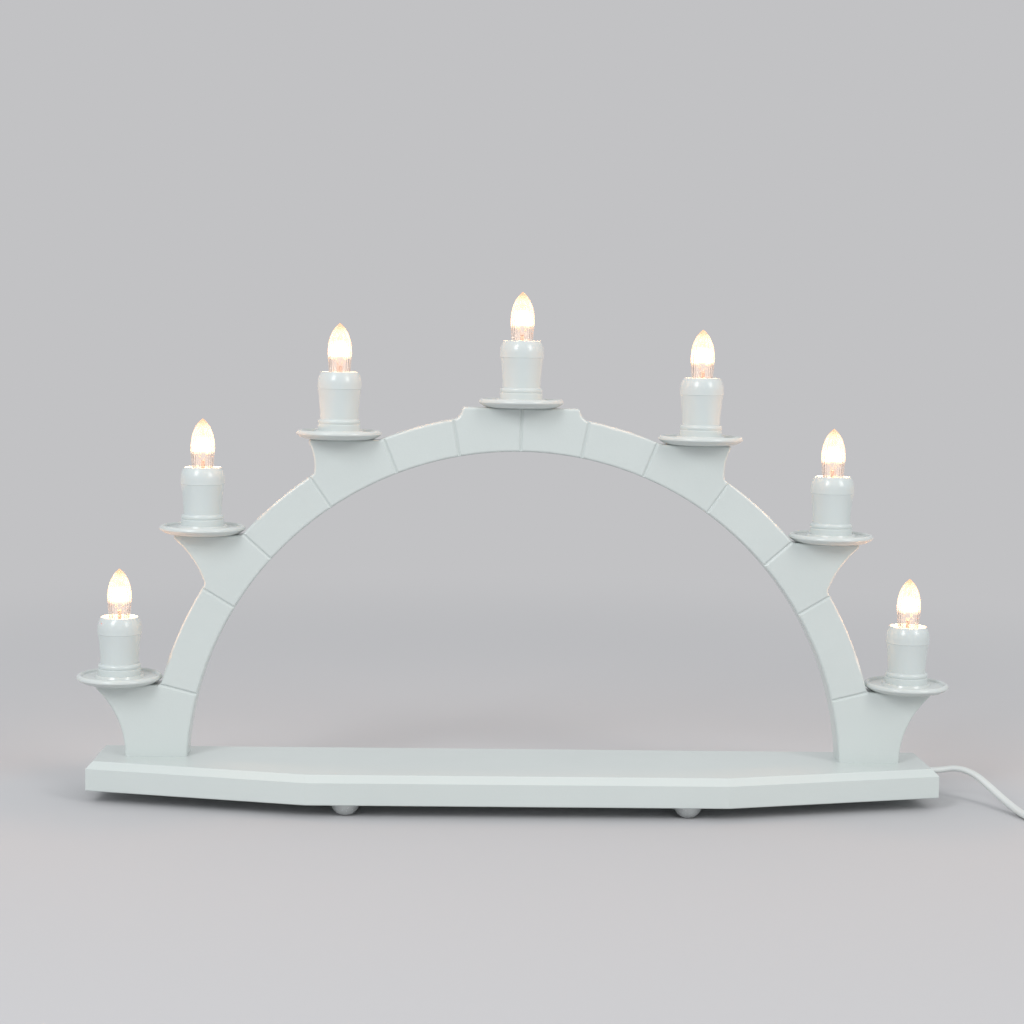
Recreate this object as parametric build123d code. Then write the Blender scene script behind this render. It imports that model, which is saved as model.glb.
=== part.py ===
from build123d import *
import os
from math import asin, atan2, ceil, cos, degrees, hypot, pi, radians, sin, sqrt, tan

# Electric candle arch: seven lamps on a wooden arch that stands on a long board.
# Millimetres. X runs along the board, Y runs to the back and Z is up.
# The origin is on the table, under the middle of the board.

# Clearances
seat_gap = 0.3
bore_clearance = 0.15
thread_clearance = 0.05
pivot_clearance = 0.1
overrun = 2.0

# Board
board_length = 500.0
board_depth = 80.0
board_end_depth = 50.0
board_front_length = 242.0
board_thickness = 17.0
board_chamfer = 4.0
board_lower_round = 0.8

# Feet
foot_diameter = 17.0
foot_height = 7.5
foot_flat_diameter = 5.0
front_foot_side_inset = 22.5
front_foot_inset = 10.5
back_foot_clearance = 18.0
back_foot_inset = 13.0

# Arch
arch_thickness = 17.0
arch_inset = 56.0
arch_band_width = 22.0
arch_centre_drop = 11.0
arch_edge_round = 1.5
joint_groove_width = 2.4
joint_groove_depth = 0.9
joint_groove_angles = (14.4, 31.0, 41.6, 55.3, 68.2, 79.4)

# Seats of the lampholders, from the lowest to the one on top.
# Each stands off the arch's outer curve, on a bracket with a hollow curve under its outer end.
seat_angles = (12.85, 37.46, 61.9, 90.0)
seat_stand_off = (24.5, 18.3, 10.15, 3.5)
seat_overhang = (15.3, 18.7, 18.3, 34.4)
leg_waist_inset = 19.8
leg_waist_height = 0.7
upper_bracket_heights = (35.0, 23.5, 12.0)
upper_cove_radii = (58.0, 30.0, 8.0)
upper_cove_drops = (47.0, 16.0, 0.0)
seat_corner_round = 1.6
bracket_blend = 3.0

# Wiring groove in the arch's back
groove_width = 6.6
groove_depth = 6.7
wire_diameter = 1.6
wire_spread = 2.5
wire_rise_spread = 1.1
wire_near_drop = 5.2
wire_far_drop = 7.2
slot_drop = 6.2
wire_end_drop = 2.6
wire_bend_radius = 3.0
wire_run_angle = 5.0
arc_share = 0.45
wire_hole_diameter = 8.0
staple_width = 1.6
staple_thickness = 0.5
staple_depth_in_wood = 3.5

# Screws that hold the arch on the board
arch_screw_diameter = 4.0
arch_screw_head_diameter = 8.0
arch_screw_length = 40.0
arch_screw_inner_margin = 4.8
arch_screw_outer_margin = 8.0
arch_screw_forward = 2.0
screw_recess_width = 1.2
screw_recess_depth = 1.4

# Drip dish
dish_diameter = 50.0
dish_height = 5.2
dish_flat_diameter = 36.0
dish_rim_height = 3.0
dish_rim_width = 3.6
dish_floor_height = 3.8
dish_boss_diameter = 28.0
dish_edge_round = 0.6
dish_rim_outer_shares = (0.13, 0.7)
dish_rim_inner_shares = (0.17, 0.4)

# Lampholder
holder_height = 39.3
holder_rim_diameter = 22.2
holder_shoulder_diameter = 25.7
holder_shoulder_drop = 7.8
holder_step_drop = 2.3
holder_step = 0.2
holder_waist_diameter = 22.2
holder_collar_diameter = 25.0
holder_collar_height = 6.2
holder_bead_height = 2.6
holder_bead_groove = 0.4
holder_mouth_diameter = 19.6
holder_floor_height = 12.0
spigot_diameter = 11.0
spigot_wall = 1.0
spigot_depth = 4.0
tower_diameter = 13.4
tower_drop = 5.9
tower_depth = 12.4
tower_floor_thickness = 1.6
contact_hole_diameter = 4.4
holder_neck_shares = (0.36, 0.56)
holder_brow_shares = (0.26, 0.52)
holder_rim_outer_shares = (0.25, 0.08)
holder_rim_inner_shares = (0.1, 0.18)

# Screw shell and centre contact in the lampholder
shell_wall = 0.4
shell_height = 9.0
shell_flange_diameter = 12.4
shell_flange_thickness = 0.5
contact_tail_length = 4.0
contact_head_diameter = 6.8
contact_head_height = 0.8
contact_button_diameter = 3.6

# Lamp, with its E10 cap
lamp_length = 44.5
lamp_base_clearance = 2.2
lamp_thread_pitch = 1.814
lamp_turns = 4.0
cap_diameter = 9.5
cap_wall = 0.35
cap_height = 9.9
cap_lower_chamfer = 1.2
cap_floor = 1.4
cap_thread_depth = 0.35
cap_thread_turns = 4
cap_crest_share = 0.3
solder_dome_share = 0.3
cap_contact_hole_diameter = 3.4
solder_diameter = 4.4
solder_height = 1.1
solder_shank_length = 1.9
glass_diameter = 14.0
glass_wall = 0.5
glass_neck_diameter = 7.6
glass_neck_height = 0.9
glass_height_shares = (0.07, 0.16, 0.36, 0.50, 0.69, 0.85, 0.93, 0.976)
glass_radius_shares = (0.80, 0.90, 0.98, 1.0, 0.886, 0.593, 0.34, 0.12)
stem_diameter = 2.6
stem_height = 9.0
stem_foot_height = 1.2
support_wire_diameter = 0.5
support_wire_rise = 8.0
filament_spread = 5.0
filament_sag = 2.5
filament_bend = 0.6

# Flat mains lead, drawn as a round tube a little thicker than the flat lead is
lead_width = 5.2
lead_tube_diameter = 3.6
lead_back = 11.0
lead_hole_diameter = 6.0
lead_inner_reach = 8.0
lead_floor_gap = 0.05
lead_end_run = 10.0
coil_turns = 6.25
coil_middle_radius = 31.2
coil_side_gap = 0.5
coil_layer_gap = 0.5
coil_climb_turns = 0.5
coil_tail = 26.0
coil_centre_reach = (105.0, -63.0)
tie_width = 6.0
tie_thickness = 0.4
tie_gap = 0.2
tie_side_gap = 0.9

# Pocket under the board, and the clamp in it
pocket_wire_margin = 7.0
pocket_end_wall = 21.0
pocket_half_width = 6.6
clamp_end_margin = 9.0
clamp_length = 8.0
clamp_half_width = 6.4
clamp_height = 6.4
clamp_screw_diameter = 2.4
clamp_screw_head_diameter = 3.4
clamp_screw_head_height = 1.0
clamp_screw_spacing = 9.2
clamp_screw_grip = 3.6

# Flat two-pin plug
plug_width = 35.3
plug_thickness = 13.7
plug_front_length = 16.0
plug_length = 36.0
plug_rear_width = 13.0
plug_rear_thickness = 10.6
plug_edge_round = 2.4
plug_shoulder_share = 0.93
relief_length = 14.0
relief_diameter = 8.4
relief_end_diameter = 6.2
relief_ribs = 5
relief_first_share = 0.6
relief_rib_depth = 0.7
pin_diameter = 4.0
pin_length = 19.0
pin_spacing = 19.0
pin_depth_in_body = 8.0
pin_collar_depth = 0.2
pin_collar_length = 10.0

# Places that follow from the sizes
board_top = foot_height + board_thickness
board_middle_z = foot_height + board_thickness / 2
board_end = board_length / 2
back_edge = board_depth / 2
front_edge = -board_depth / 2
arch_y = back_edge - board_end_depth / 2
arch_back = arch_y + arch_thickness / 2
arch_front = arch_y - arch_thickness / 2
arch_centre_z = board_top - arch_centre_drop
arch_inner_radius = board_end - arch_inset
arch_outer_radius = arch_inner_radius + arch_band_width
groove_radius = arch_inner_radius + arch_band_width / 2
wire_y = arch_back - groove_depth + seat_gap + wire_diameter / 2
link_radius = groove_radius + wire_spread / 2
return_radius = groove_radius - wire_spread / 2
lead_y = arch_y + lead_back
holder_shoulder_height = holder_height - holder_shoulder_drop
holder_step_height = holder_shoulder_height - holder_step_drop
tower_height = holder_height - tower_drop
tower_floor_height = tower_height - tower_depth
wire_end_height = tower_floor_height - wire_end_drop
lamp_base_height = tower_floor_height + lamp_base_clearance
lamp_tip_height = lamp_base_height + lamp_length
cap_base_height = lamp_base_height + solder_height + seat_gap
cap_top_height = cap_base_height + cap_height
glass_base_height = cap_top_height - glass_neck_height + seat_gap
leg_inner_x = sqrt(arch_inner_radius**2 - arch_centre_drop**2)
seat_reach = [arch_outer_radius + stand_off for stand_off in seat_stand_off]
seat_x = [reach * cos(radians(angle)) for reach, angle in zip(seat_reach, seat_angles)]
seat_rise = [reach * sin(radians(angle)) for reach, angle in zip(seat_reach, seat_angles)]
seat_height = [rise - arch_centre_drop for rise in seat_rise]
leg_outer_x = seat_x[0] + seat_overhang[0] - leg_waist_inset
leg_cove_drop = seat_height[0] - leg_waist_height
leg_cove_radius = (leg_cove_drop**2 + leg_waist_inset**2) / (2 * leg_waist_inset)
bracket_height = (seat_height[0],) + upper_bracket_heights
cove_radius = (leg_cove_radius,) + upper_cove_radii
cove_drop = (leg_cove_drop,) + upper_cove_drops
arch_screw_y = arch_y - arch_screw_forward
arch_screw_x = (leg_inner_x + arch_screw_inner_margin, leg_outer_x - arch_screw_outer_margin)
tube_radius = lead_tube_diameter / 2
lead_inner_end = groove_radius + lead_inner_reach
pocket_start = groove_radius - pocket_wire_margin
pocket_end = board_end - pocket_end_wall
pocket_roof_z = board_middle_z + tube_radius + seat_gap
clamp_centre = pocket_end - clamp_end_margin
front_foot_x = board_front_length / 2 - front_foot_side_inset
back_foot_x = pocket_start - back_foot_clearance
lower_layer_z = tie_thickness + tie_gap + tube_radius
upper_layer_z = lower_layer_z + lead_tube_diameter + coil_layer_gap
coil_pitch = lead_width + coil_side_gap
coil_centre = (board_end + coil_centre_reach[0], lead_y + coil_centre_reach[1])
coil_layer_width = coil_pitch * coil_turns / 2
coil_outer_radius = coil_middle_radius + coil_layer_width / 2
floor_z = tube_radius + lead_floor_gap


def lampholder_places():
    """Number, X and seat height above the table of each lampholder, left to right."""
    left = [(-x, board_top + z) for x, z in zip(seat_x[:3], seat_height[:3])]
    top = [(seat_x[3], board_top + seat_height[3])]
    right = [(-x, z) for x, z in reversed(left)]
    return [(number + 1, x, z) for number, (x, z) in enumerate(left + top + right)]


def arch_point(radius, angle, y):
    """Point at an angle from the right end of the arch's circles, in degrees."""
    return (radius * cos(radians(angle)), y, arch_centre_z + radius * sin(radians(angle)))


def turned(edges):
    """Solid of revolution round Z from a closed outline of (radius, height)."""
    return revolve(Plane.XZ * make_face(edges), Axis.Z)


def upright(diameter, height, x, y, z):
    """Round bar that stands on z."""
    return Pos(x, y, z) * Cylinder(diameter / 2, height, align=(Align.CENTER, Align.CENTER, Align.MIN))


def block(low, high):
    """Box between two corners."""
    size = [b - a for a, b in zip(low, high)]
    middle = [(a + b) / 2 for a, b in zip(low, high)]
    return Pos(*middle) * Box(*size)


def route_radii(points):
    """Corner radii that use most of the shorter run beside each corner."""
    radii = []
    for before, corner, after in zip(points, points[1:], points[2:]):
        run_in = Vector(*corner) - Vector(*before)
        run_out = Vector(*after) - Vector(*corner)
        half_turn = radians(run_in.get_angle(run_out)) / 2
        shorter = min(run_in.length, run_out.length)
        radii.append(arc_share * shorter / tan(half_turn))
    return radii


def tube_along(path, diameter):
    """Round tube swept along a path from its start."""
    start = Plane(origin=path @ 0, z_dir=path % 0)
    return sweep(start * Circle(diameter / 2), path=path)


def save(shape, name):
    """Write one piece, or a group of separate pieces, to its own file."""
    export_step(shape, f"parts/{name}.step")


def group(solids):
    """Separate solids that share one node."""
    return Compound(children=list(solids))


def foot_places():
    front = [(side * front_foot_x, front_edge + front_foot_inset) for side in (-1, 1)]
    back = [(side * back_foot_x, back_edge - back_foot_inset) for side in (-1, 1)]
    return front + back


def arch_screw_places():
    return [(side * x, arch_screw_y) for side in (-1, 1) for x in arch_screw_x]


def screw_cutter(x, y):
    """Clearance hole with a countersink, from under the board."""
    diameter = arch_screw_diameter + 2 * bore_clearance
    sink = (arch_screw_head_diameter - arch_screw_diameter) / 2
    hole = upright(diameter, board_thickness + overrun, x, y, foot_height - overrun / 2)
    mouth = (arch_screw_head_diameter / 2 + 2 * bore_clearance, diameter / 2)
    cone = Pos(x, y, foot_height + sink / 2) * Cone(mouth[0], mouth[1], sink)
    return hole + cone


def base_board():
    half, end, front = board_end, back_edge - board_end_depth, board_front_length / 2
    corners = [(-half, back_edge), (-half, end), (-front, front_edge)]
    corners += [(-x, y) for x, y in reversed(corners)]
    board = Pos(0, 0, foot_height) * extrude(make_face(Polyline(*corners, close=True)), board_thickness)
    board = chamfer(board.edges().group_by(Axis.Z)[-1], board_chamfer)
    board = fillet(board.edges().group_by(Axis.Z)[0], board_lower_round)
    for x, y in arch_screw_places():
        board -= screw_cutter(x, y)
    pocket_low = (pocket_start, lead_y - pocket_half_width, foot_height - overrun)
    pocket_high = (pocket_end, lead_y + pocket_half_width, pocket_roof_z)
    board -= block(pocket_low, pocket_high)
    lead_hole = Cylinder(lead_hole_diameter / 2, half - pocket_end + 2 * overrun)
    board -= Pos((half + pocket_end) / 2, lead_y, board_middle_z) * Rot(0, 90, 0) * lead_hole
    board -= upright(wire_hole_diameter, board_thickness, groove_radius, wire_y, board_middle_z - overrun)
    pilot = clamp_screw_diameter + bore_clearance
    for x, y in clamp_screw_places():
        board -= upright(pilot, clamp_screw_grip + seat_gap, x, y, pocket_roof_z)
    return board


def foot():
    radius, flat = foot_diameter / 2, foot_flat_diameter / 2
    dome = (foot_height**2 + radius**2 - flat**2) / (2 * foot_height)
    dome_radius = hypot(radius, dome - foot_height)
    middle = (dome_radius * cos(radians(45)), dome - dome_radius * sin(radians(45)))
    outline = [
        Line((0, 0), (flat, 0)),
        ThreePointArc((flat, 0), middle, (radius, foot_height)),
        Line((radius, foot_height), (0, foot_height)),
        Line((0, foot_height), (0, 0)),
    ]
    return turned(outline)


def bracket_outline(seat):
    """Flat seat and the hollow curve under its outer end, on the right side."""
    corner, top = seat_x[seat] + seat_overhang[seat], board_top + seat_height[seat]
    radius, drop = cove_radius[seat], cove_drop[seat]
    reach = corner + (radius if drop == 0 else 0)
    low = top - bracket_height[seat]
    plate = Pos(reach / 2, (top + low) / 2) * Rectangle(reach, top - low)
    cove = Pos(corner + sqrt(radius**2 - drop**2), top - drop) * Circle(radius)
    plate -= cove
    tip = plate.vertices().sort_by_distance((corner, top, 0))[0]
    return fillet(tip, seat_corner_round)


def arch_outline():
    band = Pos(0, arch_centre_z) * Circle(arch_outer_radius)
    for seat in range(len(seat_x)):
        right = bracket_outline(seat)
        band += right
        band += mirror(right, Plane.YZ)
    joins = []
    for corner in band.vertices():
        off_circle = hypot(corner.X, corner.Y - arch_centre_z) - arch_outer_radius
        if round(off_circle, 3) == 0 and corner.Y > board_top:
            joins.append(corner)
    band = fillet(joins, bracket_blend)
    band -= Pos(0, arch_centre_z) * Circle(arch_inner_radius)
    width = board_length + overrun
    return band - Pos(0, board_top - width / 2) * Rectangle(width, width)


def joint_groove(angle, length):
    """V-groove across the front of the band, along a radius."""
    along = Vector(cos(radians(angle)), 0, sin(radians(angle)))
    across = Vector(-sin(radians(angle)), 0, cos(radians(angle)))
    start = Vector(*arch_point(arch_inner_radius - overrun, angle, arch_front))
    half, depth = joint_groove_width / 2, joint_groove_depth
    section = make_face(Polyline((-half, 0), (half, 0), (0, -depth), close=True))
    return extrude(Plane(origin=start, x_dir=across, z_dir=along) * section, length + overrun)


def wiring_slot(x, seat_z):
    """Slot in the arch's back from the wiring groove to a lampholder's bore."""
    reach = hypot(x, seat_z - slot_drop - arch_centre_z) - groove_radius
    length = reach + wire_rise_spread + wire_diameter / 2 + seat_gap
    slot = Box(length, groove_depth, groove_width, align=(Align.MIN, Align.MAX, Align.CENTER))
    angle = slot_angle(x, seat_z)
    return Location(arch_point(groove_radius, angle, arch_back), (0, -angle, 0)) * slot


def arch():
    outline = Plane((0, arch_back, 0), x_dir=(1, 0, 0), z_dir=(0, -1, 0)) * arch_outline()
    body = extrude(outline, arch_thickness)
    for side in (0, -1):
        face_edges = body.edges().group_by(Axis.Y)[side]
        upper = [e for e in face_edges if e.center().Z > board_top + seat_gap]
        body = fillet(upper, arch_edge_round)
    for angle in joint_groove_angles:
        body -= joint_groove(angle, arch_band_width + overrun)
        body -= joint_groove(180 - angle, arch_band_width + overrun)
    body -= joint_groove(90, board_top + seat_height[3] - arch_centre_z - arch_inner_radius + overrun)
    wide = Circle(groove_radius + groove_width / 2) - Circle(groove_radius - groove_width / 2)
    ring = Pos(0, arch_back, arch_centre_z) * Rot(90, 0, 0) * extrude(wide, groove_depth)
    body -= ring
    for _, x, seat_z in lampholder_places():
        bore = spigot_diameter + 2 * bore_clearance
        body -= upright(bore, slot_drop + overrun, x, arch_y, seat_z - slot_drop)
        body -= wiring_slot(x, seat_z)
    pilot = arch_screw_diameter + 2 * bore_clearance
    pilot_depth = arch_screw_length - board_thickness + seat_gap
    for x, y in arch_screw_places():
        body -= upright(pilot, pilot_depth + overrun, x, y, board_top - overrun)
    for leg in staple_legs(thread_clearance, seat_gap):
        body -= leg
    return body


def staple_angles():
    """Angles half way between neighbouring slots, and one in each leg."""
    slots = [slot_angle(x, seat_z) for _, x, seat_z in lampholder_places()]
    between = [(a + b) / 2 for a, b in zip(slots, slots[1:])]
    return between + [slots[0] + (180 - slots[0]) / 2, slots[-1] / 2]


def staple_frame(angle):
    return Location(arch_point(groove_radius, angle, arch_back - groove_depth), (0, -angle, 0))


def staple_legs(slack, top):
    """Boxes of the staples' legs, from their tips in the wood up to top."""
    outer = groove_width / 2 - seat_gap
    inner = outer - staple_thickness
    legs = []
    for angle in staple_angles():
        for low, high in ((-outer, -inner), (inner, outer)):
            corner = (low - slack, -staple_depth_in_wood - slack, -staple_width / 2 - slack)
            leg = block(corner, (high + slack, top, staple_width / 2 + slack))
            legs.append(staple_frame(angle) * leg)
    return legs


def wire_staples():
    half = groove_width / 2 - seat_gap
    rise = wire_diameter + 3 * seat_gap
    legs = staple_legs(0, rise)
    staples = []
    for index, angle in enumerate(staple_angles()):
        crown = block((-half, rise - staple_thickness, -staple_width / 2), (half, rise, staple_width / 2))
        staples.append(staple_frame(angle) * crown + legs[2 * index] + legs[2 * index + 1])
    return group(staples)


def arch_screw():
    head, shank = arch_screw_head_diameter / 2, arch_screw_diameter / 2
    sink = head - shank
    tip = (0, arch_screw_length)
    screw = turned(Polyline((0, 0), (head, 0), (shank, sink), (shank, arch_screw_length - shank), tip, close=True))
    for turn in (0, 90):
        slot = Box(2 * shank, screw_recess_width, 2 * screw_recess_depth)
        screw -= Rot(0, 0, turn) * slot
    return screw


def drip_dish():
    rim, flat, bore = dish_diameter / 2, dish_flat_diameter / 2, spigot_diameter / 2 + bore_clearance
    boss, top = dish_boss_diameter / 2, dish_height
    rim_inner = rim - dish_rim_width
    crown, floor = (rim - dish_rim_width / 2, top), (rim_inner, dish_floor_height)
    across, up = dish_rim_outer_shares
    outer_middle = (rim - dish_rim_width * across, dish_rim_height + (top - dish_rim_height) * up)
    across, down = dish_rim_inner_shares
    inner_middle = (rim_inner + dish_rim_width * across, top - (top - dish_floor_height) * down)
    outline = [
        Line((bore, 0), (flat, 0)),
        TangentArc((flat, 0), (rim, dish_rim_height), tangent=(1, 0)),
        ThreePointArc((rim, dish_rim_height), outer_middle, crown),
        ThreePointArc(crown, inner_middle, floor),
        Line(floor, (boss + dish_edge_round, dish_floor_height)),
        Line((boss + dish_edge_round, dish_floor_height), (boss, top)),
        Line((boss, top), (bore, top)),
        Line((bore, top), (bore, 0)),
    ]
    return turned(outline)


def lampholder():
    low = dish_height
    collar, waist = holder_collar_diameter / 2, holder_waist_diameter / 2
    bead_low = low + holder_collar_height - holder_bead_height
    collar_top = low + holder_collar_height
    shoulder, rim = holder_shoulder_diameter / 2, holder_rim_diameter / 2
    mouth, tower = holder_mouth_diameter / 2, tower_diameter / 2
    spigot, hollow = spigot_diameter / 2, spigot_diameter / 2 - spigot_wall
    shell_bore = cap_diameter / 2 + thread_clearance + shell_wall + thread_clearance
    groove = collar - holder_bead_groove
    step = shoulder - holder_step
    across, up = holder_neck_shares
    neck_middle = (waist + (step - waist) * across, collar_top + (holder_step_height - collar_top) * up)
    across, up = holder_brow_shares
    brow_middle = (shoulder - (shoulder - rim) * across, holder_shoulder_height + holder_shoulder_drop * up)
    lip = rim - mouth
    rim_low, rim_top = holder_height - lip / 2, ((rim + mouth) / 2, holder_height)
    across, down = holder_rim_outer_shares
    outer_middle = (rim - lip * across, holder_height - lip * down)
    across, down = holder_rim_inner_shares
    inner_middle = (mouth + lip * across, holder_height - lip * down)
    hole, under_floor = contact_hole_diameter / 2, tower_floor_height - tower_floor_thickness
    foot_end, waist_low = (collar, bead_low - holder_bead_groove), (waist, collar_top + holder_bead_groove)
    step_top = (shoulder, holder_step_height + holder_step)
    outside = [
        Line((hollow, -spigot_depth), (spigot, -spigot_depth)),
        Line((spigot, -spigot_depth), (spigot, low)),
        Line((spigot, low), (collar, low)),
        Line((collar, low), foot_end),
        Line(foot_end, (groove, bead_low)),
        ThreePointArc((groove, bead_low), (collar, (bead_low + collar_top) / 2), (groove, collar_top)),
        Line((groove, collar_top), waist_low),
        ThreePointArc(waist_low, neck_middle, (step, holder_step_height)),
        Line((step, holder_step_height), step_top),
        Line(step_top, (shoulder, holder_shoulder_height)),
        ThreePointArc((shoulder, holder_shoulder_height), brow_middle, (rim, rim_low)),
        ThreePointArc((rim, rim_low), outer_middle, rim_top),
    ]
    inside = [
        ThreePointArc(rim_top, inner_middle, (mouth, rim_low)),
        Line((mouth, rim_low), (mouth, holder_floor_height)),
        Line((mouth, holder_floor_height), (tower, holder_floor_height)),
        Line((tower, holder_floor_height), (tower, tower_height)),
        Line((tower, tower_height), (shell_bore, tower_height)),
        Line((shell_bore, tower_height), (shell_bore, tower_floor_height)),
        Line((shell_bore, tower_floor_height), (hole, tower_floor_height)),
        Line((hole, tower_floor_height), (hole, under_floor)),
        Line((hole, under_floor), (hollow, under_floor)),
        Line((hollow, under_floor), (hollow, -spigot_depth)),
    ]
    return turned(outside + inside)


def screw_shell():
    inner = cap_diameter / 2 + thread_clearance
    outer = inner + shell_wall
    flange, top = shell_flange_diameter / 2, tower_height + shell_flange_thickness
    outline = Polyline(
        (inner, tower_height - shell_height), (outer, tower_height - shell_height), (outer, tower_height),
        (flange, tower_height), (flange, top), (inner, top), close=True,
    )
    return turned(outline)


def centre_contact():
    tail = contact_hole_diameter / 2 - bore_clearance
    head, top = contact_head_diameter / 2, lamp_base_height - seat_gap
    low = tower_floor_height - tower_floor_thickness - contact_tail_length
    brim, button = tower_floor_height + contact_head_height, contact_button_diameter / 2
    outline = Polyline(
        (0, low), (tail, low), (tail, tower_floor_height), (head, tower_floor_height), (head, brim),
        (button, brim), (button, top), (0, top), close=True,
    )
    return turned(outline)


def lamp_contact():
    head, shank = solder_diameter / 2, cap_contact_hole_diameter / 2 - pivot_clearance
    low, brim = lamp_base_height, lamp_base_height + solder_height
    top = cap_base_height + solder_shank_length
    dome_middle = (head * sin(radians(40)), low + solder_height * solder_dome_share)
    outline = [
        ThreePointArc((0, low), dome_middle, (head, brim)),
        Line((head, brim), (shank, brim)),
        Line((shank, brim), (shank, top)),
        Line((shank, top), (0, top)),
        Line((0, top), (0, low)),
    ]
    return turned(outline)


def lamp_cap():
    crest, root = cap_diameter / 2, cap_diameter / 2 - cap_thread_depth
    inner, hole = root - cap_wall, cap_contact_hole_diameter / 2
    low, top = cap_base_height, cap_top_height
    points = [(hole, low), (crest - cap_lower_chamfer, low), (root, low + cap_lower_chamfer)]
    thread_low = low + cap_lower_chamfer + lamp_thread_pitch / 2
    for turn in range(cap_thread_turns):
        z = thread_low + turn * lamp_thread_pitch
        flank = lamp_thread_pitch * cap_crest_share
        points += [(root, z - flank), (crest, z), (root, z + flank)]
    points += [(root, top), (inner, top), (inner, low + cap_floor), (hole, low + cap_floor)]
    return turned(Polyline(*points, close=True))


def glass_curve(radius, tip, neck):
    """One wall of the flame-shaped glass, from the neck to the tip."""
    low = glass_base_height + glass_neck_height
    points = [(neck, low)]
    for height_share, radius_share in zip(glass_height_shares, glass_radius_shares):
        points.append((radius * radius_share, low + (tip - low) * height_share))
    points.append((0, tip))
    return Spline(*points)


def lamp_glass():
    neck, low = glass_neck_diameter / 2, glass_base_height
    shoulder = low + glass_neck_height
    inner_tip = lamp_tip_height - 2 * glass_wall
    outer = glass_curve(glass_diameter / 2, lamp_tip_height, neck)
    inner = glass_curve(glass_diameter / 2 - glass_wall, inner_tip, neck - glass_wall)
    outline = [
        outer,
        Line((0, lamp_tip_height), (0, inner_tip)),
        inner,
        Line((neck - glass_wall, shoulder), (neck - glass_wall, low)),
        Line((neck - glass_wall, low), (neck, low)),
        Line((neck, low), (neck, shoulder)),
    ]
    return turned(outline)


def lamp_filament():
    """Glass stem with two support wires and the filament between them."""
    low = glass_base_height
    foot_radius = glass_neck_diameter / 2 - glass_wall - seat_gap
    mount = upright(2 * foot_radius, stem_foot_height, 0, 0, low)
    mount += upright(stem_diameter, stem_height, 0, 0, low)
    top = low + stem_height
    spread, peak = filament_spread / 2, low + stem_height + support_wire_rise
    dip = peak - filament_sag
    root = stem_diameter / 2 - support_wire_diameter
    elbow = top + support_wire_rise / 2
    points = [
        (-root, 0, top - filament_bend), (-root, 0, top + filament_bend), (-spread, 0, elbow),
        (-spread, 0, peak), (-spread / 3, 0, dip), (0, 0, peak), (spread / 3, 0, dip), (spread, 0, peak),
        (spread, 0, elbow), (root, 0, top + filament_bend), (root, 0, top - filament_bend),
    ]
    path = FilletPolyline(*points, radius=filament_bend / 2)
    return mount + tube_along(path, support_wire_diameter)


def wire_rise(x, seat_z, side):
    """End of a wire in a lampholder, from its tip to the foot of its rise."""
    rise_x = x + side * wire_rise_spread
    drop = wire_far_drop if side * x > 0 else wire_near_drop
    return [(rise_x, wire_y, seat_z + wire_end_height), (rise_x, wire_y, seat_z - drop)]


def slot_angle(x, seat_z):
    return degrees(atan2(seat_z - slot_drop - arch_centre_z, x))


def groove_run(radius, start, end):
    """Points along the wiring groove, evenly spaced between two angles."""
    steps = ceil(abs(end - start) / wire_run_angle)
    return [arch_point(radius, start + (end - start) * step / steps, wire_y) for step in range(steps + 1)]


def wire_tube(points):
    # Wide arcs follow the groove, and the elbows are bent tight.
    radii = [r if r > groove_radius / 2 else min(r, wire_bend_radius) for r in route_radii(points)]
    return tube_along(FilletPolyline(*points, radius=radii), wire_diameter)


def wire_foot(radius, side):
    """Points of a wire from the lead's end to the foot of the right leg."""
    start = (lead_inner_end - wire_diameter / 2, lead_y + side * wire_rise_spread, board_middle_z)
    across = (radius + wire_rise_spread, (lead_y + wire_y) / 2 + side * wire_rise_spread, board_middle_z)
    up = (radius, wire_y, board_middle_z + wire_bend_radius)
    return [start, across, up]


def link_wires():
    """Series wires from lampholder to lampholder, and the feed to the last one."""
    places = lampholder_places()
    shift = degrees(wire_spread / 2 / link_radius)
    wires = []
    for (_, x1, z1), (_, x2, z2) in zip(places, places[1:]):
        run = groove_run(link_radius, slot_angle(x1, z1) - shift, slot_angle(x2, z2) + shift)
        wires.append(wire_tube(wire_rise(x1, z1, 1) + run + wire_rise(x2, z2, -1)[::-1]))
    _, x, seat_z = places[-1]
    rise = wire_rise(x, seat_z, 1)
    foot_angle = degrees(asin(arch_centre_drop / link_radius))
    run = groove_run(link_radius, foot_angle, slot_angle(x, seat_z) - shift)
    wires.append(wire_tube(wire_foot(link_radius, -1) + run + rise[::-1]))
    return group(wires)


def return_wire():
    _, x, seat_z = lampholder_places()[0]
    shift = degrees(wire_spread / 2 / link_radius)
    rise = wire_rise(x, seat_z, -1)
    foot_angle = degrees(asin(arch_centre_drop / return_radius))
    run = groove_run(return_radius, foot_angle, slot_angle(x, seat_z) + shift)
    return wire_tube(wire_foot(return_radius, 1) + run + rise[::-1])


def clamp_screw_places():
    return [(clamp_centre, lead_y + side * clamp_screw_spacing / 2) for side in (-1, 1)]


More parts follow.
